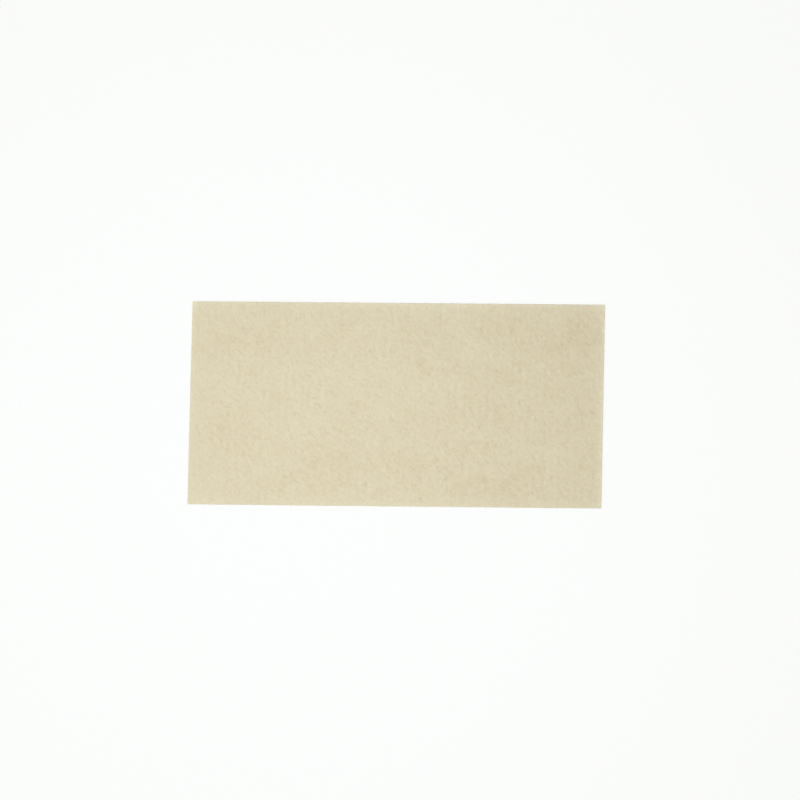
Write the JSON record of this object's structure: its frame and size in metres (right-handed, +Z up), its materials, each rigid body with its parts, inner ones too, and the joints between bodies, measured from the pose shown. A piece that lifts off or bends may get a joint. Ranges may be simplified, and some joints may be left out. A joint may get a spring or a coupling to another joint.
{
  "type": "alginate wound dressing sheet",
  "caption": "Flat rectangular sheet of soft cream needle-punched alginate felt, laid on a wound to soak up fluid; its cut edges are pressed a little and roll down.",
  "frame": {"origin": "on the underside, under the middle of the sheet's box", "axes": "+X along the long side, +Y across the sheet, +Z up out of the upper face"},
  "size_m": [0.2028, 0.0994, 0.0027],
  "materials": {
    "alginate_felt": "matt cream needle-punched felt with a fine slanting fibre grain"
  },
  "bodies": {
    "root": {"felt_sheet": "alginate_felt"}
  },
  "joints": []
}
